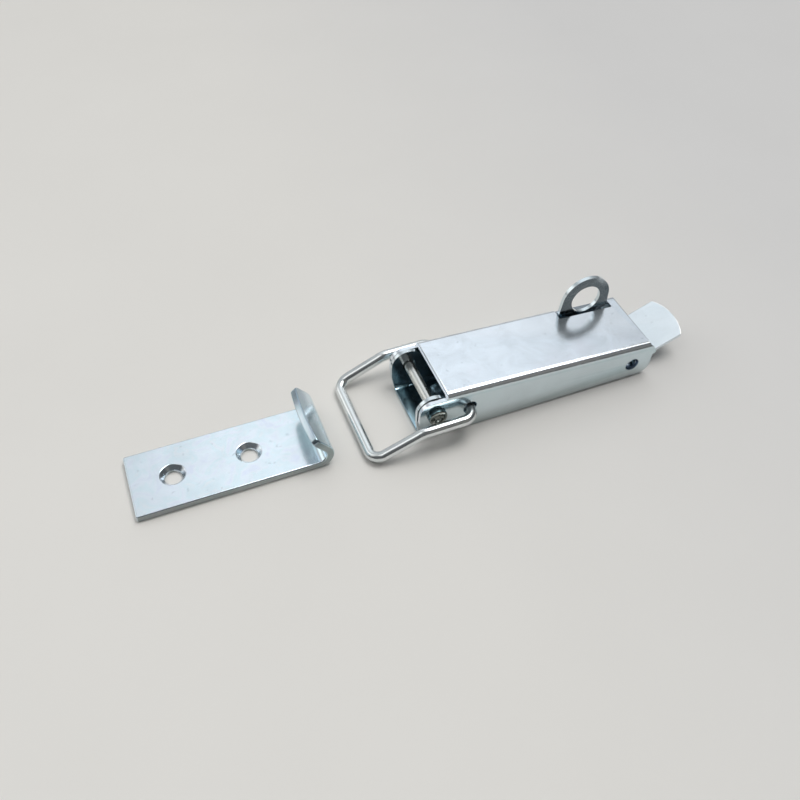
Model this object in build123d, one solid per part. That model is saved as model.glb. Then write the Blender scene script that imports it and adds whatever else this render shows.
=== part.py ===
from build123d import *
import os
import math

# Padlockable toggle latch with keeper, all in millimetres.
# u runs along the latch from the lever's pivot, y is across, z is up from the
# mounting surface.  The row origin lies between the two screw holes of the base.

os.makedirs("parts", exist_ok=True)

# ---- driving dimensions ---------------------------------------------------
HOLE_1, HOLE_2 = 20.0, 56.0          # base screw holes, along u
ORIGIN_U = (HOLE_1 + HOLE_2) / 2.0   # row origin on u
SCREW_R = 2.75                       # base screw holes

PIVOT_Z = 12.0                       # height of the pivot
RIVET_U, RIVET_Z = 0.55, 11.4        # the rivet sits a little off the ears' centre
RIVET_R = 2.0
RIVET_HEAD_R, RIVET_END = 3.5, 16.85
RIVET_LOOSE = 0.45                   # play in the base's ears

LEVER_W = 15.0                       # half width outside
LEVER_T = 1.5
LEVER_TOP = 7.89                     # top face above the pivot, lever frame
LEVER_TILT = -2.926                  # degrees, closed
LEVER_TOP_P0, LEVER_TOP_P1 = 4.5, 87.8
LEVER_END_P = 89.25
LEVER_R = 2.5                        # outside radius of the lever's two long bends

BASE_T = 1.5
BASE_W = 13.15                       # half width outside
BASE_WALL_H = 6.5
BASE_END_U = 75.8
EAR_R = 6.3

BASE_R = 3.4                         # outside radius of the base's two long bends

TAB_Y0, TAB_Y1 = 10.45, 11.95        # padlock eye, front and back faces
EYE_U, EYE_Z, EYE_R, EYE_RO = 72.7, 21.6, 6.0, 10.0

WIRE_R = 2.0
WIRE_U, WIRE_Z = 13.4, 10.1          # where the wire passes the lever walls
SLOT_R = 2.45
BAIL_Y = 0.6                         # the bail has slid sideways by this much
LEG_Y, BAR_LEG_Y = 20.4, 19.9        # half spacing of the legs at the lever and at the bar
KINK_U, KINK_Z = -6.4, 9.9
BAR_U, BAR_Z = -25.0, 2.06

CATCH_T = 1.0
CATCH_U, CATCH_Z = 80.9, 7.1         # catch pivot, the round hole in the lever's end
CATCH_HOLE_R = 2.75
PIP_R, PIP_BORE = 2.62, 2.05         # drawn collars that turn in that hole
CATCH_W = 10.3
CATCH_SLOPE = math.degrees(math.atan(0.416))
NOSE_Z = 2.9                         # centre of the flat part
CATCH_BEND_U = 87.6
CATCH_END_U = 107.4

SPRING_U = 85.7
SPRING_R, SPRING_WIRE = 2.4, 0.35
SPRING_Z0, SPRING_Z1 = 3.6, 13.75

KEEP_X0 = -106.8                     # keeper's left edge, on u
KEEP_T = 2.8
KEEP_W = 13.75                       # half width
KEEP_H1, KEEP_H2 = 15.0, 42.0        # screw holes from the left edge
KEEP_HOLE_R, KEEP_CSK_R = 3.0, 4.6
HOOK_X, HOOK_RO = 63.6, 5.9          # bend centre from the left edge, outer radius
HOOK_ANG, HOOK_LEG = 129.0, 8.1


def box(x0, x1, y0, y1, z0, z1):
    return Pos((x0 + x1) / 2, (y0 + y1) / 2, (z0 + z1) / 2) * Box(x1 - x0, y1 - y0, z1 - z0)


def rod_y(x, z, r, y0, y1):
    return Pos(x, (y0 + y1) / 2, z) * Rot(90, 0, 0) * Cylinder(r, y1 - y0)


def side_plate(face_xz, y0, y1):
    # a face drawn as (x, z) made into a plate from y0 to y1
    f = Plane.XZ * face_xz
    return Pos(0, y1, 0) * extrude(f, amount=y1 - y0)


def across(face_yz, x0, x1):
    # a face drawn as (y, z) run along x from x0 to x1
    f = Plane.YZ * face_yz
    return Pos(x0, 0, 0) * extrude(f, amount=x1 - x0)


def poly(pts):
    return make_face(Polyline(*pts, close=True))


def outline(pts, radii):
    # closed outline whose corners are rounded one by one
    n = len(pts)
    segs = []
    cuts = []
    for i in range(n):
        p0, p1, p2 = [Vector(*pts[(i + k - 1) % n]) for k in range(3)]
        a, b = (p0 - p1).normalized(), (p2 - p1).normalized()
        r = radii[i]
        if r <= 0:
            cuts.append((p1, None, p1))
            continue
        half = math.acos(max(-1, min(1, a.dot(b)))) / 2
        d = r / math.tan(half)
        c = p1 + (a + b).normalized() * (r / math.sin(half))
        m = c + (p1 - c).normalized() * r
        cuts.append((p1 + a * d, m, p1 + b * d))
    for i in range(n):
        s, m, e = cuts[i]
        if m is not None:
            segs.append(ThreePointArc(s, m, e))
        nxt = cuts[(i + 1) % n][0]
        if (nxt - e).length > 1e-6:
            segs.append(Line(e, nxt))
    return make_face(segs)


def put(shape, name, tilt=False):
    if tilt:
        shape = Rot(0, -LEVER_TILT, 0) * shape
        shape = Pos(0, 0, PIVOT_Z) * shape
    shape = Pos(-ORIGIN_U, 0, 0) * shape
    export_step(shape, "parts/%s.step" % name)
    bb = shape.bounding_box()
    print("%-14s solids %d  volume %9.2f  x %.2f..%.2f y %.2f..%.2f z %.2f..%.2f" % (
        name, len(shape.solids()), shape.volume, bb.min.X, bb.max.X, bb.min.Y, bb.max.Y, bb.min.Z, bb.max.Z))
    return shape


# ---- base: folded channel with pivot ears, padlock eye and end lip ---------
u_out = outline([(-BASE_W, 0), (BASE_W, 0), (BASE_W, 30), (-BASE_W, 30)], [BASE_R, BASE_R, 0, 0])
wi = BASE_W - BASE_T
u_in = outline([(-wi, BASE_T), (wi, BASE_T), (wi, 31), (-wi, 31)], [BASE_R - BASE_T, BASE_R - BASE_T, 0, 0])
channel = across(u_out - u_in, -EAR_R, BASE_END_U)

ear = outline([(-EAR_R, -1), (BASE_END_U, -1), (BASE_END_U, BASE_WALL_H), (10.6, BASE_WALL_H),
               (5.6, 15.2), (3.0, PIVOT_Z + EAR_R), (-EAR_R, PIVOT_Z + EAR_R)],
              [0, 0, 2.0, 4.0, 1.2, 1.2, 2.0])
# round the top of the ear about the pivot
ear_low = poly([(-EAR_R, -1), (BASE_END_U, -1), (BASE_END_U, BASE_WALL_H), (10.6, BASE_WALL_H), (5.9, 14.2), (-EAR_R, 14.2)])
ear_round = Pos(0, PIVOT_Z) * Circle(EAR_R)
left_strip = Pos(-EAR_R / 2, PIVOT_Z / 2 - 0.5) * Rectangle(EAR_R, PIVOT_Z + 1)
wedge = poly([(0, -1), (BASE_END_U, -1), (BASE_END_U, BASE_WALL_H), (11.2, BASE_WALL_H), (9.6, 7.1),
              (EAR_R * math.cos(math.radians(18)), PIVOT_Z + EAR_R * math.sin(math.radians(18))), (0, PIVOT_Z)])
side = ear_round + left_strip + wedge
base = channel & side_plate(side, -20, 20)
# the blank's left edge runs back a little towards the floor
base -= side_plate(poly([(-8, -1), (-5.3, -1), (-5.3, 1.2), (-5.6, 3.0), (-EAR_R - 0.001, 6.8), (-8, 6.8)]), -20, 20)
# round the wall's top corner at the end
corner = box(BASE_END_U - 2.5, BASE_END_U + 1, -20, 20, BASE_WALL_H - 2.5, BASE_WALL_H + 1) - rod_y(
    BASE_END_U - 2.5, BASE_WALL_H - 2.5, 2.5, -21, 21)
base -= corner

# padlock eye: the far wall runs up, steps inward and ends in a ring
joggle = across(poly([(wi, 4.5), (BASE_W, 4.5), (BASE_W, 6.2), (TAB_Y1, 8.0), (TAB_Y1, 9.2),
                      (TAB_Y0, 9.2), (TAB_Y0, 7.6), (wi, 5.8)]), 62.2, 75.4)
neck = outline([(62.2, 8.6), (75.4, 8.6), (75.4, 12.9), (EYE_U + EYE_RO, 15.2), (EYE_U + EYE_RO, EYE_Z), (EYE_U - 9.87, EYE_Z + 1.58),
                (EYE_U - 11.1, EYE_Z - 6.1)], [0, 0, 2.0, 1.5, 0, 0, 2.0])
ring = neck + Pos(EYE_U, EYE_Z) * Circle(EYE_RO)
ring -= Pos(EYE_U, EYE_Z) * Circle(EYE_R)
tab = side_plate(ring, TAB_Y0, TAB_Y1)
base = base + joggle + tab

# end lip with the window that the catch locks into
lip = outline([(74.0, 0), (78.2, 0), (78.2, 5.7), (76.7, 5.7), (76.7, BASE_T), (74.0, BASE_T)],
              [0, 2.0, 0.4, 0.4, 0.5, 0])
base = base + side_plate(lip, -9.7, 9.7)
base -= box(75.3, 80, -7.0, 7.0, -1, 4.1)
for h in (HOLE_1, HOLE_2):
    base -= Pos(h, 0, 0) * Cylinder(SCREW_R, 10)
base -= rod_y(RIVET_U, RIVET_Z, RIVET_R + RIVET_LOOSE, -20, 20)
base_plate = put(base, "base_plate")

# ---- lever: one folded sheet, drawn in its own frame about the pivot ---------
l_out = outline([(-LEVER_W, -14), (LEVER_W, -14), (LEVER_W, LEVER_TOP), (-LEVER_W, LEVER_TOP)], [0, 0, LEVER_R, LEVER_R])
lw = LEVER_W - LEVER_T
l_in = outline([(-lw, -15), (lw, -15), (lw, LEVER_TOP - LEVER_T), (-lw, LEVER_TOP - LEVER_T)],
               [0, 0, LEVER_R - LEVER_T, LEVER_R - LEVER_T])
hood = across(l_out - l_in, -8, 92)
LEAR = 5.65
bot = [(8.5, -10.6), (15.5, -10.87), (LEVER_END_P, -6.32)]
wall = outline([(-5.9, 0.0), (-5.9, -5.0), (-1.0, -8.6), (8.5, -10.6), (15.5, -10.87), (LEVER_END_P, -6.32),
                (LEVER_END_P - 0.15, 2.35), (90.35, 2.7), (90.35, 4.0), (88.8, 6.3), (LEVER_TOP_P1, 7.1), (LEVER_TOP_P1, 9.5),
                (LEVER_TOP_P0, 9.5), (LEVER_TOP_P0, 6.4), (4.0, 6.4), (4.0, LEAR), (-5.9, LEAR)],
               [0, 4.0, 6.0, 5.0, 10.0, 4.4, 0.2, 0.2, 0.5, 0.5, 0.3, 0, 0, 0.2, 0.2, 0.2, 5.0])
lever = hood & side_plate(wall, -20, 20)
# the top sheet's end is cut square between the side walls
lever -= box(LEVER_TOP_P1, 95, -13.4, 13.4, 4.0, 12.0)
# the shears roll both ends of the top
ROLL, ROLL_END = 0.5, 0.8
lever -= box(LEVER_TOP_P0 - 0.5, LEVER_TOP_P0 + ROLL, -20, 20, LEVER_TOP - ROLL, LEVER_TOP + 0.5) - rod_y(
    LEVER_TOP_P0 + ROLL, LEVER_TOP - ROLL, ROLL, -21, 21)
lever -= box(LEVER_TOP_P1 - ROLL_END, LEVER_TOP_P1 + 0.5, -20, 20, LEVER_TOP - ROLL_END, LEVER_TOP + 0.5) - rod_y(
    LEVER_TOP_P1 - ROLL_END, LEVER_TOP - ROLL_END, ROLL_END, -21, 21)
# notch that swings over the padlock eye, through the far fold
notch = outline([(61.0, 8.6), (84.0, 8.6), (84.0, 17), (61.0, 17)], [0.6, 0.6, 0, 0])
lever -= Pos(0, 0, 5.9) * extrude(notch, amount=6)
# pivot, wire slots and catch holes
ca, sa = math.cos(math.radians(LEVER_TILT)), math.sin(math.radians(LEVER_TILT))


def to_lever(u, z):
    dz = z - PIVOT_Z
    return (u * ca + dz * sa, -u * sa + dz * ca)


rp, rq = to_lever(RIVET_U, RIVET_Z)
lever -= rod_y(rp, rq, RIVET_R + 0.05, -20, 20)
wp, wq = to_lever(WIRE_U, WIRE_Z)
sa_, sb_ = (wp - 0.05, wq - 0.15), (wp + 0.2, wq + 0.65)
slot = Pos(*sa_) * Circle(SLOT_R) + Pos(*sb_) * Circle(SLOT_R)
slot += make_hull([Circle(SLOT_R).moved(Location((*sa_, 0))).edge(),
                   Circle(SLOT_R).moved(Location((*sb_, 0))).edge()])
lever -= side_plate(slot, -20, 20)
cp, cq = to_lever(CATCH_U, CATCH_Z)
lever -= rod_y(cp, cq, CATCH_HOLE_R, -20, 20)
lever = put(lever, "lever", tilt=True)

# ---- pivot rivet: shank with two spun, dished heads ---------------------------
rivet = rod_y(RIVET_U, RIVET_Z, RIVET_R, -15.4, 15.4)
for s in (-1, 1):
    head = rod_y(RIVET_U, RIVET_Z, RIVET_HEAD_R, 15.2 if s > 0 else -RIVET_END, RIVET_END if s > 0 else -15.2)
    outer = head.faces().sort_by(Axis.Y)[0 if s < 0 else -1]
    head = fillet(outer.edges(), 0.8)
    # hollow in the middle of the spun head
    dish = Pos(RIVET_U, s * (RIVET_END - 0.45), RIVET_Z) * Rot(s * -90, 0, 0) * Cone(1.2, 2.1, 0.9)
    rivet = rivet + head - dish
    rim = [e for e in rivet.edges().filter_by(GeomType.CIRCLE) if abs(e.radius - 2.1) < 0.01 and e.center().Y * s > 0]
    rivet = fillet(rim, 0.25)
pivot_rivet = put(rivet, "pivot_rivet")

# ---- wire bail ------------------------------------------------------------------
pts = []
half = [(WIRE_U, 12.0, WIRE_Z), (WIRE_U, LEG_Y, WIRE_Z), (KINK_U, LEG_Y, KINK_Z), (BAR_U, BAR_LEG_Y, BAR_Z)]
pts = [Vector(p[0], p[1] + BAIL_Y, p[2]) for p in half] + [Vector(p[0], BAIL_Y - p[1], p[2]) for p in reversed(half)]
rad = [0, 4.6, 9.0, 4.6, 4.6, 9.0, 4.6, 0]
edges = []
last = pts[0]
for i in range(1, len(pts)):
    if i == len(pts) - 1:
        edges.append(Line(last, pts[i]))
        break
    a, b = (pts[i - 1] - pts[i]).normalized(), (pts[i + 1] - pts[i]).normalized()
    hf = math.acos(max(-1, min(1, a.dot(b)))) / 2
    r = rad[i]
    d = r / math.tan(hf)
    s, e = pts[i] + a * d, pts[i] + b * d
    c = pts[i] + (a + b).normalized() * (r / math.sin(hf))
    m = c + (pts[i] - c).normalized() * r
    edges.append(Line(last, s))
    edges.append(ThreePointArc(s, m, e))
    last = e
path = Wire(edges)
bail = sweep(Plane(origin=path @ 0, z_dir=path % 0) * Circle(WIRE_R), path=path)
ends = bail.faces().filter_by(GeomType.PLANE).edges()
bail = chamfer(ends, 0.4)
wire_bail = put(bail, "wire_bail")

# ---- safety catch: one sprung sheet with tongue, nose and two pivot ears ----------
t = CATCH_T
al = math.radians(CATCH_SLOPE)
ln = (CATCH_END_U - CATCH_BEND_U) / math.cos(al)
cx, cz = CATCH_BEND_U, NOSE_Z
nx, nz = -math.sin(al), math.cos(al)
end = (cx + ln * math.cos(al), cz + ln * math.sin(al))
k = t / 2 * math.tan(al / 2)
prof = outline([(77.1, cz - t / 2), (cx + k, cz - t / 2), (end[0] - nx * t / 2, end[1] - nz * t / 2),
                (end[0] + nx * t / 2, end[1] + nz * t / 2), (cx - k, cz + t / 2), (77.1, cz + t / 2)],
               [0.25, 4.0, 0.2, 0.2, 3.0, 0.25])
sheet = side_plate(prof, -20, 20)
# outline seen from above: narrow nose, shoulders, tongue with a rounded end
R_END = 22.6
plan = outline([(77.1, -6.3), (83.9, -6.3), (83.9, -12.7), (88.3, -12.7), (88.3, -CATCH_W), (120, -CATCH_W),
                (120, CATCH_W), (88.3, CATCH_W), (88.3, 12.7), (83.9, 12.7), (83.9, 6.3), (77.1, 6.3)],
               [1.2, 1.0, 0, 0.3, 1.0, 0, 0, 1.0, 0.3, 0, 1.0, 1.2])
plan = plan & (Pos(CATCH_END_U - R_END, 0) * Circle(R_END) + Pos(80, 0) * Rectangle(40, 40))
catch = sheet & (Pos(0, 0, -10) * extrude(plan, amount=60))
cheek = outline([(83.9, NOSE_Z - t / 2), (88.3, NOSE_Z - t / 2 + 0.05), (88.3, 5.2), (85.0, 9.0), (83.0, 10.9),
                 (80.9, 11.2), (80.9, 3.0), (82.5, 3.3)], [0, 0.6, 1.5, 3.0, 1.0, 0, 0, 1.0])
cheek = cheek + Pos(CATCH_U, CATCH_Z) * Circle(4.2)
for s in (-1, 1):
    y0, y1 = (12.2, 13.2) if s > 0 else (-13.2, -12.2)
    catch += side_plate(cheek, y0, y1)
    pip = rod_y(CATCH_U, CATCH_Z, PIP_R, 13.0 if s > 0 else -14.15, 14.15 if s > 0 else -13.0)
    rim = pip.faces().sort_by(Axis.Y)[-1 if s > 0 else 0].edges()
    pip = fillet(rim, 0.3)
    bore = rod_y(CATCH_U, CATCH_Z, PIP_BORE, 11.9 if s > 0 else -15.0, 15.0 if s > 0 else -11.9)
    catch = catch + pip - bore
# round the fold between shoulder and cheek
for s in (-1, 1):
    sharp = box(83.0, 89.0, 12.2, 14.0, 2.0, 3.4) if s > 0 else box(83.0, 89.0, -14.0, -12.2, 2.0, 3.4)
    keep = Pos(86.0, s * 12.2, 3.4) * Rot(0, 90, 0) * Cylinder(1.0, 10)
    catch -= (sharp - keep)
safety_catch = put(catch, "safety_catch")

# ---- catch spring: closed-end compression spring ------------------------------------
turns = 7.0
height = SPRING_Z1 - SPRING_Z0 - 2 * SPRING_WIRE
pitch = (height - 2 * SPRING_WIRE * 2.1) / (turns - 2)
body = Helix(pitch, height, SPRING_R)
coil = Pos(SPRING_U, 0, SPRING_Z0 + SPRING_WIRE) * sweep(
    Plane(origin=body @ 0, z_dir=body % 0) * Circle(SPRING_WIRE), path=body, is_frenet=True)
catch_spring = put(coil, "catch_spring")

# ---- keeper: screwed-down plate with a hook turned back over it ---------------------------
ri = HOOK_RO - KEEP_T
th = math.radians(HOOK_ANG)
dx, dz = math.cos(th), math.sin(th)
phi = th - math.pi / 2
hx, hz = HOOK_X, HOOK_RO


def arc_pt(r, a):
    return (hx + r * math.cos(a), hz + r * math.sin(a))


o1, i1 = arc_pt(HOOK_RO, phi), arc_pt(ri, phi)
om, im = arc_pt(HOOK_RO, (phi - math.pi / 2) / 2), arc_pt(ri, (phi - math.pi / 2) / 2)
o2, i2 = (o1[0] + dx * HOOK_LEG, o1[1] + dz * HOOK_LEG), (i1[0] + dx * HOOK_LEG, i1[1] + dz * HOOK_LEG)
segs = [Line((0, 0), (hx, 0)), ThreePointArc((hx, 0), om, o1), Line(o1, o2), Line(o2, i2), Line(i2, i1),
        ThreePointArc(i1, im, (hx, KEEP_T)), Line((hx, KEEP_T), (0, KEEP_T)), Line((0, KEEP_T), (0, 0))]
keeper = side_plate(make_face(segs), -KEEP_W, KEEP_W)
# the hook's tip is a shallow arc with rounded corners
tip = Vector((o2[0] + i2[0]) / 2, 0, (o2[1] + i2[1]) / 2)
run = Vector(dx, 0, dz)
leg = Plane(origin=tip, x_dir=(0, 1, 0), z_dir=(-dz, 0, dx))
sign = 1 if leg.y_dir.dot(run) > 0 else -1
TIP_SAG = 1.7
tip_r = (KEEP_W ** 2 + TIP_SAG ** 2) / (2 * TIP_SAG)
arc = ThreePointArc((-KEEP_W, -sign * TIP_SAG), (0, 0), (KEEP_W, -sign * TIP_SAG))
beyond = make_face([arc, Line((KEEP_W, -sign * TIP_SAG), (KEEP_W + 1, -sign * TIP_SAG)),
                    Line((KEEP_W + 1, -sign * TIP_SAG), (KEEP_W + 1, sign * 3)),
                    Line((KEEP_W + 1, sign * 3), (-KEEP_W - 1, sign * 3)),
                    Line((-KEEP_W - 1, sign * 3), (-KEEP_W - 1, -sign * TIP_SAG)),
                    Line((-KEEP_W - 1, -sign * TIP_SAG), (-KEEP_W, -sign * TIP_SAG))])
keeper -= extrude(leg * beyond, amount=KEEP_T, both=True)


def reach(e):
    return (e.center() - tip).dot(run)


corners = [e for e in keeper.edges() if -TIP_SAG - 0.1 < reach(e) < 0.1 and abs(abs(e.center().Y) - KEEP_W) < 0.01
           and e.length < KEEP_T + 0.2]
keeper = fillet(corners, 2.0)
ends = [q for q in keeper.edges().filter_by(Axis.Z) if abs(q.center().X) < 0.01]
keeper = fillet(ends, 0.8)
inward = Vector(i1[0] - o1[0], 0, i1[1] - o1[1]).normalized()


def on_top(v):
    # on the side that is the plate's top and the hook's inside
    in_leg = abs((v - tip).dot(inward) - KEEP_T / 2) < 0.01 and (v - tip).dot(run) > -HOOK_LEG - 0.01
    in_arc = abs(math.hypot(v.X - hx, v.Z - hz) - ri) < 0.01 and v.X > hx - 0.01
    in_plate = abs(v.Z - KEEP_T) < 0.01 and v.X < hx + 0.01
    return in_leg or in_arc or in_plate


def seam(e):
    return e.geom_type == GeomType.LINE and abs((e @ 0).Y + (e @ 1).Y) < 0.01 and e.center().X > 1.0


# the punch rolls the rim of that side, and the tip is softened on its outside too
rim_in = [e for e in keeper.edges() if all(on_top(e @ k) for k in (0.0, 0.5, 1.0)) and not seam(e)]
keeper = fillet(rim_in, 0.6)
rim_out = [e for e in keeper.edges() if -4.0 < reach(e) and abs((e.center() - tip).dot(inward) + KEEP_T / 2) < 0.05
           and e.length > 0.5 and abs(e.center().Y) < KEEP_W - 0.01]
keeper = fillet(rim_out, 0.5)
for h in (KEEP_H1, KEEP_H2):
    keeper -= Pos(h, 0, 0) * Cylinder(KEEP_HOLE_R, 20)
    depth = KEEP_CSK_R - KEEP_HOLE_R
    keeper -= Pos(h, 0, KEEP_T - depth / 2 + 0.0) * Cone(KEEP_HOLE_R, KEEP_CSK_R, depth)
keeper = Pos(KEEP_X0, 0, 0) * keeper
keeper_plate = put(keeper, "keeper_plate")
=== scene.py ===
import bpy
import bmesh
import math
from mathutils import Matrix, Vector

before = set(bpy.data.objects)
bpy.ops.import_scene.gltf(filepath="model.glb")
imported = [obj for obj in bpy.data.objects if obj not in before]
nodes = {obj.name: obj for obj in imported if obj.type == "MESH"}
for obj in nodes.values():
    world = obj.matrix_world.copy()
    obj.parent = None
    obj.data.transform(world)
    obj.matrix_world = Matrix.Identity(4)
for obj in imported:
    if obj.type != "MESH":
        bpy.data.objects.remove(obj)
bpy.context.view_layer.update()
scene = bpy.context.scene
scene.view_settings.view_transform = "Standard"


# ---------------------------------------------------------------- materials
class Tree:
    """Small helper for building a node tree by name."""

    def __init__(self, name):
        self.mat = bpy.data.materials.new(name)
        self.mat.use_nodes = True
        self.t = self.mat.node_tree
        self.t.nodes.clear()
        self.out = self.add("ShaderNodeOutputMaterial")
        self.bsdf = self.add("ShaderNodeBsdfPrincipled")
        self.link(self.bsdf, "BSDF", self.out, "Surface")

    def add(self, kind, **props):
        n = self.t.nodes.new(kind)
        for k, v in props.items():
            setattr(n, k, v)
        return n

    def link(self, a, ao, b, bi):
        self.t.links.new(a.outputs[ao], b.inputs[bi])

    def noise(self, coord, scale, detail=4.0, rough=0.55, stretch=(1, 1, 1), distortion=0.0, offset=(0, 0, 0)):
        m = self.add("ShaderNodeMapping")
        m.inputs["Scale"].default_value = stretch
        m.inputs["Location"].default_value = offset
        self.link(coord, "Object", m, "Vector")
        n = self.add("ShaderNodeTexNoise")
        n.inputs["Scale"].default_value = scale
        n.inputs["Detail"].default_value = detail
        n.inputs["Roughness"].default_value = rough
        n.inputs["Distortion"].default_value = distortion
        self.link(m, "Vector", n, "Vector")
        return n

    def ramp(self, src, out, stops, interp="LINEAR"):
        r = self.add("ShaderNodeValToRGB")
        r.color_ramp.interpolation = interp
        while len(r.color_ramp.elements) < len(stops):
            r.color_ramp.elements.new(0.5)
        for e, (p, c) in zip(r.color_ramp.elements, stops):
            e.position = p
            e.color = (*c, 1.0) if len(c) == 3 else c
        self.link(src, out, r, "Fac")
        return r

    def maprange(self, src, out, a, b, c, d):
        m = self.add("ShaderNodeMapRange")
        m.inputs["From Min"].default_value = a
        m.inputs["From Max"].default_value = b
        m.inputs["To Min"].default_value = c
        m.inputs["To Max"].default_value = d
        self.link(src, out, m, "Value")
        return m

    def mix(self, fac, fo, a, ao, b, bo, blend="MIX"):
        m = self.add("ShaderNodeMix", data_type="RGBA", blend_type=blend)
        if fo is None:
            m.inputs[0].default_value = fac
        else:
            self.link(fac, fo, m, 0)
        self.t.links.new(a.outputs[ao], m.inputs[6])
        self.t.links.new(b.outputs[bo], m.inputs[7])
        return m

    def rgb(self, c):
        n = self.add("ShaderNodeRGB")
        n.outputs[0].default_value = (*c, 1)
        return n


def zone(T, tc, conds):
    """0..1 mask from ramps on object position or object normal."""
    last = None
    for src, axis, a, b in conds:
        sep = T.add("ShaderNodeSeparateXYZ")
        T.link(tc, src, sep, "Vector")
        val, sock = sep, axis[-1]
        if axis[0] == "R":
            # distance from an upright axis through (x, 0)
            at = T.add("ShaderNodeCombineXYZ")
            T.link(sep, "Y", at, "Y")
            off = T.add("ShaderNodeMath", operation="SUBTRACT")
            T.link(sep, "X", off, 0)
            off.inputs[1].default_value = float(axis[1:])
            T.link(off, 0, at, "X")
            val, sock = T.add("ShaderNodeVectorMath", operation="LENGTH"), "Value"
            T.link(at, "Vector", val, 0)
        if axis[0] == "|":
            val, sock = T.add("ShaderNodeMath", operation="ABSOLUTE"), 0
            T.link(sep, axis[-1], val, 0)
        mr = T.maprange(val, sock, a, b, 0.0, 1.0)
        if last is not None:
            m = T.add("ShaderNodeMath", operation="MULTIPLY")
            T.link(last, 0, m, 0)
            T.link(mr, 0, m, 1)
            mr = m
        last = mr
    return last


def zinc(name, base, rough, mottle=0.05, grain=(1, 1, 1), bump=1.0, pink=0.35, iris=0.0, specks=0.5, edge_lighten=0.25,
         cloud_scale=95.0, zones=(), soft=0.0, painted_highlights=()):
    """Bright zinc plate: a bluish metal with soft clouds, a faint lilac veil,
    fine rolling grain, tiny freckles and slightly brighter convex edges; zones multiply in painted shade and
    painted dark reflections, and painted_highlights mix in painted highlights."""
    T = Tree(name)
    tc = T.add("ShaderNodeTexCoord")
    cloud = T.noise(tc, cloud_scale, 5.0, 0.6, distortion=0.6)
    veil = T.noise(tc, 42.0, 3.0, 0.55, offset=(0.3, 0.1, 0.2))
    fine = T.noise(tc, 1500.0, 3.0, 0.6)
    roll = T.noise(tc, 520.0, 4.0, 0.65, stretch=grain)
    spots = T.noise(tc, 480.0, 2.0, 0.5, offset=(0.1, 0.7, 0.4))
    dark = tuple(c * (1 - mottle) for c in base)
    light = tuple(min(1.0, c * (1 + mottle * 0.8)) for c in base)
    col = T.ramp(cloud, "Fac", [(0.34, dark), (0.52, base), (0.70, light)])
    # a faint lilac cast in places
    vr = T.ramp(veil, "Fac", [(0.50, (0, 0, 0)), (0.72, (pink, pink, pink))])
    lilac = T.rgb((min(1.0, base[0] * 1.05), base[1] * 0.985, min(1.0, base[2] * 1.0)))
    col = T.mix(vr, "Color", col, 0, lilac, 0)
    # thin-film colours of the blue passivation
    if iris:
        film = T.noise(tc, 150.0, 3.0, 0.55, offset=(0.5, 0.2, 0.9), distortion=0.8)
        fr = T.ramp(film, "Fac", [(0.30, (0.86, 0.84, 0.97)), (0.44, (1.0, 1.0, 1.0)), (0.56, (0.80, 0.97, 0.95)),
                                  (0.68, (1.0, 0.99, 0.93)), (0.80, (0.93, 0.86, 0.99))])
        col = T.mix(iris, None, col, 2, fr, 0, "MULTIPLY")
    # tiny darker freckles in the plating
    fr = T.ramp(spots, "Fac", [(0.24, (0.70, 0.72, 0.75)), (0.33, (1, 1, 1))])
    col = T.mix(specks, None, col, 2, fr, 0, "MULTIPLY")
    # zones multiplied darker, mostly painted shade and painted dark reflections in gaps, recesses, walls and heads;
    # each zone is described where the material is made
    for conds, tint in zones:
        col = T.mix(zone(T, tc, conds), 0, col, 2, T.rgb(tint), 0, "MULTIPLY")
    # convex edges mixed towards a pale blue-white
    geo = T.add("ShaderNodeNewGeometry")
    edge = T.maprange(geo, "Pointiness", 0.52, 0.60, 0.0, edge_lighten)
    col = T.mix(edge, "Result", col, 2, T.rgb((0.95, 0.97, 1.0)), 0)
    # painted highlights: bands mixed towards white where an edge should catch the light
    for conds, tint in painted_highlights:
        col = T.mix(zone(T, tc, conds), 0, col, 2, T.rgb(tint), 0)
    T.link(col, 2, T.bsdf, "Base Color")
    T.bsdf.inputs["Metallic"].default_value = 1.0
    # roughness follows the clouds and the rolling grain
    r1 = T.maprange(cloud, "Fac", 0.3, 0.7, rough * 0.86, rough * 1.16)
    r2 = T.maprange(roll, "Fac", 0.3, 0.7, -0.02, 0.03)
    add = T.add("ShaderNodeMath", operation="ADD", use_clamp=True)
    T.link(r1, "Result", add, 0)
    T.link(r2, "Result", add, 1)
    T.link(add, 0, T.bsdf, "Roughness")
    # bump: grain, fine orange-peel and broad unevenness
    b1 = T.add("ShaderNodeBump")
    b1.inputs["Strength"].default_value = 0.10 * bump
    b1.inputs["Distance"].default_value = 0.00003
    T.link(roll, "Fac", b1, "Height")
    if soft:
        rim = T.add("ShaderNodeBevel", samples=6)
        rim.inputs["Radius"].default_value = soft
        T.link(rim, "Normal", b1, "Normal")
    b2 = T.add("ShaderNodeBump")
    b2.inputs["Strength"].default_value = 0.05 * bump
    b2.inputs["Distance"].default_value = 0.00003
    T.link(fine, "Fac", b2, "Height")
    T.link(b1, "Normal", b2, "Normal")
    b3 = T.add("ShaderNodeBump")
    b3.inputs["Strength"].default_value = 0.10 * bump
    b3.inputs["Distance"].default_value = 0.0001
    T.link(cloud, "Fac", b3, "Height")
    T.link(b2, "Normal", b3, "Normal")
    T.link(b3, "Normal", T.bsdf, "Normal")
    return T.mat


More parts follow.
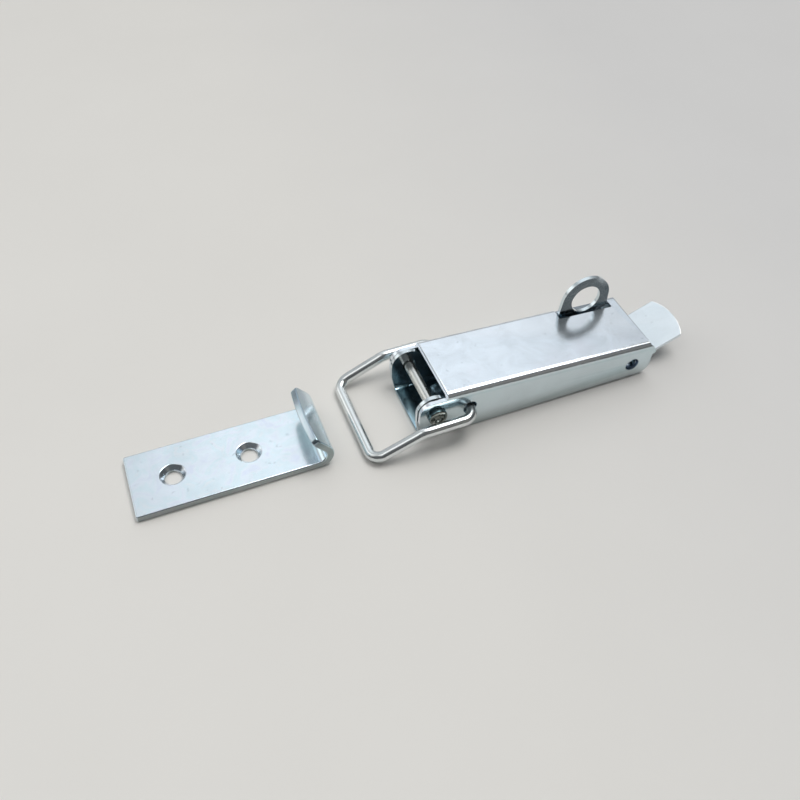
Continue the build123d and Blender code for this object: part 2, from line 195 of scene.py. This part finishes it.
WALL = ("Normal", "|Y", 0.80, 0.97)
M_LEVER = zinc("zinc_lever", (0.78, 0.85, 0.92), 0.19, grain=(0.25, 1, 1), mottle=0.085, bump=1.7, pink=0.5, zones=[
    # painted shade: up-facing faces in the notch around the ring multiplied nearly black
    ([("Normal", "Z", 0.3, 0.8), ("Object", "X", 0.022, 0.024), ("Object", "X", 0.0468, 0.0462),
      ("Object", "Y", 0.0080, 0.0088), ("Object", "Z", 0.0151, 0.0145)], (0.10, 0.14, 0.17)),
    # painted reflection: faces facing ±Y multiplied grey-green for the mirrored table, and darker towards the
    # bottom as a painted reflected contact shadow
    ([WALL], (0.73, 0.82, 0.80)), ([WALL, ("Object", "Z", 0.0070, 0.0012)], (0.66, 0.65, 0.62)),
    # painted reflection: a blue-teal band on the ears above the rivet, where the wire's dark underside is mirrored
    ([WALL, ("Object", "X", -0.0235, -0.0260), ("Object", "Z", 0.0130, 0.0138), ("Object", "Z", 0.0168, 0.0160)],
     (0.58, 0.74, 0.82))])
M_BASE = zinc("zinc_base", (0.68, 0.76, 0.80), 0.16, grain=(0.3, 1, 1), zones=[
    # painted shade: the channel floor and lower inside multiplied blue-teal and darker
    ([("Object", "|Y", 0.0118, 0.0114), ("Object", "Z", 0.0100, 0.0080)], (0.60, 0.78, 0.86)),
    # painted shade: faces facing ±Y darkened from X 22 mm on, beneath the lever
    ([WALL, ("Object", "X", 0.020, 0.022)], (0.70, 0.71, 0.72)),
    # painted shade: the ring's front face, low down in the notch, multiplied nearly black
    ([("Normal", "Y", -0.5, -0.8), ("Object", "X", 0.018, 0.020), ("Object", "Y", 0.0098, 0.0102),
      ("Object", "Z", 0.0168, 0.0158), ("Object", "Z", 0.0080, 0.0110)], (0.15, 0.20, 0.23))])
M_CATCH = zinc("zinc_catch", (0.78, 0.86, 0.91), 0.22, grain=(0.3, 1, 1), soft=0.0004, zones=[
    # painted shade: the collars in the lever's side holes multiplied dark navy
    ([("Object", "|Y", 0.0130, 0.0133)], (0.13, 0.18, 0.25))],
    # painted highlight: a thin band round the tongue's curved end mixed to white
    painted_highlights=[([("Object", "R0.0468", 0.02215, 0.02235)], (1.0, 1.0, 1.0))])
M_KEEPER = zinc("zinc_keeper", (0.78, 0.85, 0.92), 0.18, grain=(0.2, 1, 1), iris=0.35, pink=0.5, zones=[
    # painted shade: the hook faintly darkened, and faces facing ±Y multiplied much darker
    ([("Object", "X", -0.0850, -0.0815)], (0.95, 1.0, 1.0)), ([WALL], (0.47, 0.46, 0.43)),
    # painted shade: the hook above 10 to 13 mm multiplied darker
    ([("Object", "X", -0.0850, -0.0815), ("Object", "Z", 0.0100, 0.0130)], (0.60, 0.64, 0.67)),
    # darker towards the keeper's left end
    ([("Object", "X", -0.1050, -0.1450)], (0.87, 0.87, 0.87))])
M_WIRE = zinc("zinc_wire", (0.77, 0.80, 0.81), 0.20, iris=0.12, mottle=0.05)
M_RIVET = zinc("zinc_rivet", (0.64, 0.66, 0.64), 0.27, grain=(1, 0.4, 1), mottle=0.05, zones=[
    # painted shade: the rivet heads multiplied dark
    ([("Object", "|Y", 0.0148, 0.0151)], (0.42, 0.43, 0.40)),
    # painted reflection: the heads' rims multiplied dark blue for the mirrored shade beneath
    ([("Object", "|Y", 0.0148, 0.0151), ("Normal", "|Y", 0.75, 0.45)], (0.45, 0.70, 0.85))])
M_SPRING = zinc("spring_wire", (0.50, 0.51, 0.53), 0.25)

SLOTS = {
    "base_plate": M_BASE, "lever": M_LEVER, "pivot_rivet": M_RIVET, "wire_bail": M_WIRE,
    "safety_catch": M_CATCH, "catch_spring": M_SPRING, "keeper_plate": M_KEEPER,
}

for name, mat in SLOTS.items():
    o = nodes[name]
    o.data.materials.clear()
    o.data.materials.append(mat)
    # rounded, rubbed sheet edges
    if name in ("base_plate", "lever", "safety_catch", "keeper_plate"):
        w = o.modifiers.new("weld", "WELD")
        w.merge_threshold = 0.000002
        d = o.modifiers.new("flat", "DECIMATE")
        d.decimate_type = "DISSOLVE"
        d.angle_limit = math.radians(0.6)
        b = o.modifiers.new("edges", "BEVEL")
        b.width = {"keeper_plate": 0.00035, "safety_catch": 0.00012}.get(name, 0.00016)
        b.segments = 3
        b.limit_method = "ANGLE"
        b.angle_limit = math.radians(40)
        b.use_clamp_overlap = True
        b.harden_normals = False
    for p in o.data.polygons:
        p.use_smooth = True
    m = o.modifiers.new("normals", "WEIGHTED_NORMAL")
    m.keep_sharp = False
    m.weight = 80


# ---------------------------------------------------------------- floor
def plane(name, size, z, mat):
    me = bpy.data.meshes.new(name)
    s = size / 2
    me.from_pydata([(-s, -s, z), (s, -s, z), (s, s, z), (-s, s, z)], [], [(0, 1, 2, 3)])
    o = bpy.data.objects.new(name, me)
    scene.collection.objects.link(o)
    me.materials.append(mat)
    return o


F = Tree("table")
tc = F.add("ShaderNodeTexCoord")
n = F.noise(tc, 14.0, 3.0, 0.5)
r = F.ramp(n, "Fac", [(0.3, (0.770, 0.756, 0.728)), (0.7, (0.784, 0.770, 0.742))])
# painted shade: the table darkened and cooled towards +X
r = F.mix(zone(F, tc, [("Object", "X", -0.05, 0.16)]), 0, r, 0, F.rgb((0.905, 0.915, 0.945)), 0, "MULTIPLY")
F.link(r, 2, F.bsdf, "Base Color")
F.bsdf.inputs["Roughness"].default_value = 0.8
F.bsdf.inputs["Specular IOR Level"].default_value = 0.1
floor = plane("table_top", 6.0, 0.0, F.mat)

# ---------------------------------------------------------------- light
world = bpy.data.worlds.new("studio")
scene.world = world
world.use_nodes = True
wt = world.node_tree
wt.nodes.clear()
wo = wt.nodes.new("ShaderNodeOutputWorld")
bg = wt.nodes.new("ShaderNodeBackground")
wt.links.new(bg.outputs[0], wo.inputs[0])
wc = wt.nodes.new("ShaderNodeTexCoord")


def towards(az, el):
    """Unit vector: azimuth from +Y towards +X, elevation above the table."""
    a, e = math.radians(az), math.radians(el)
    return Vector((math.sin(a) * math.cos(e), math.cos(a) * math.cos(e), math.sin(e)))


def lobe(prev, az, el, inner, outer, color, strength):
    """Adds a soft round glow to the surroundings."""
    dot = wt.nodes.new("ShaderNodeVectorMath")
    dot.operation = "DOT_PRODUCT"
    wt.links.new(wc.outputs["Generated"], dot.inputs[0])
    dot.inputs[1].default_value = towards(az, el)
    mr = wt.nodes.new("ShaderNodeMapRange")
    mr.interpolation_type = "SMOOTHSTEP"
    mr.inputs["From Min"].default_value = math.cos(math.radians(outer))
    mr.inputs["From Max"].default_value = math.cos(math.radians(inner))
    mr.inputs["To Min"].default_value = 0.0
    mr.inputs["To Max"].default_value = strength
    wt.links.new(dot.outputs["Value"], mr.inputs["Value"])
    sc = wt.nodes.new("ShaderNodeVectorMath")
    sc.operation = "SCALE"
    sc.inputs[0].default_value = color
    wt.links.new(mr.outputs["Result"], sc.inputs["Scale"])
    if prev is None:
        return sc
    ad = wt.nodes.new("ShaderNodeVectorMath")
    ad.operation = "ADD"
    wt.links.new(prev.outputs[0], ad.inputs[0])
    wt.links.new(sc.outputs[0], ad.inputs[1])
    return ad


glow = lobe(None, 0, 90, 0, 180, (0.96, 0.98, 1.0), 0.14)           # dim room
glow = lobe(glow, 2, 36, 20, 72, (0.94, 0.975, 1.0), 0.42)          # pale wall behind
glow = lobe(glow, 17, 50, 3, 31, (0.93, 0.97, 1.0), 0.50)           # large soft screen behind and above
glow = lobe(glow, 80, 70, 4, 24, (1.0, 0.99, 0.97), 5.3)            # overhead screen
glow = lobe(glow, -58, 24, 8, 27, (1.0, 0.98, 0.94), 0.93)          # light wall on the left
glow = lobe(glow, 150, 28, 4, 24, (1.0, 0.90, 0.72), 0.10)          # brownish wall behind the camera
wt.links.new(glow.outputs[0], bg.inputs["Color"])
bg.inputs["Strength"].default_value = 1.0


def area(name, direction, dist, sx, sy, power, color=(1, 1, 1)):
    d = bpy.data.lights.new(name, "AREA")
    d.shape = "RECTANGLE"
    d.size, d.size_y = sx, sy
    d.energy = power
    d.color = color
    o = bpy.data.objects.new(name, d)
    o.location = direction * dist
    o.rotation_mode = "QUATERNION"
    o.rotation_quaternion = (-direction).to_track_quat("-Z", "Y")
    scene.collection.objects.link(o)
    return o


area("key", towards(-100, 60), 0.9, 0.5, 0.5, 0.8, (1.0, 0.995, 0.98))

# ---------------------------------------------------------------- camera
cd = bpy.data.cameras.new("photo_view")
cam = bpy.data.objects.new("photo_view", cd)
scene.collection.objects.link(cam)
scene.camera = cam
th, el, ro = 0.37115, 0.83830, 0.0
fwd = Vector((math.sin(th) * math.cos(el), math.cos(th) * math.cos(el), -math.sin(el)))
right = Vector((math.cos(th), -math.sin(th), 0.0))
up = right.cross(fwd)
cam.matrix_world = Matrix.Translation((-0.122254, -0.197007, 0.242208)) @ Matrix((
    (right.x, up.x, -fwd.x, 0), (right.y, up.y, -fwd.y, 0), (right.z, up.z, -fwd.z, 0), (0, 0, 0, 1)))
cd.sensor_fit = "AUTO"
cd.sensor_width = 36.0
cd.lens = 866.604 / 800.0 * 36.0
cd.clip_start = 0.01
cd.clip_end = 20.0
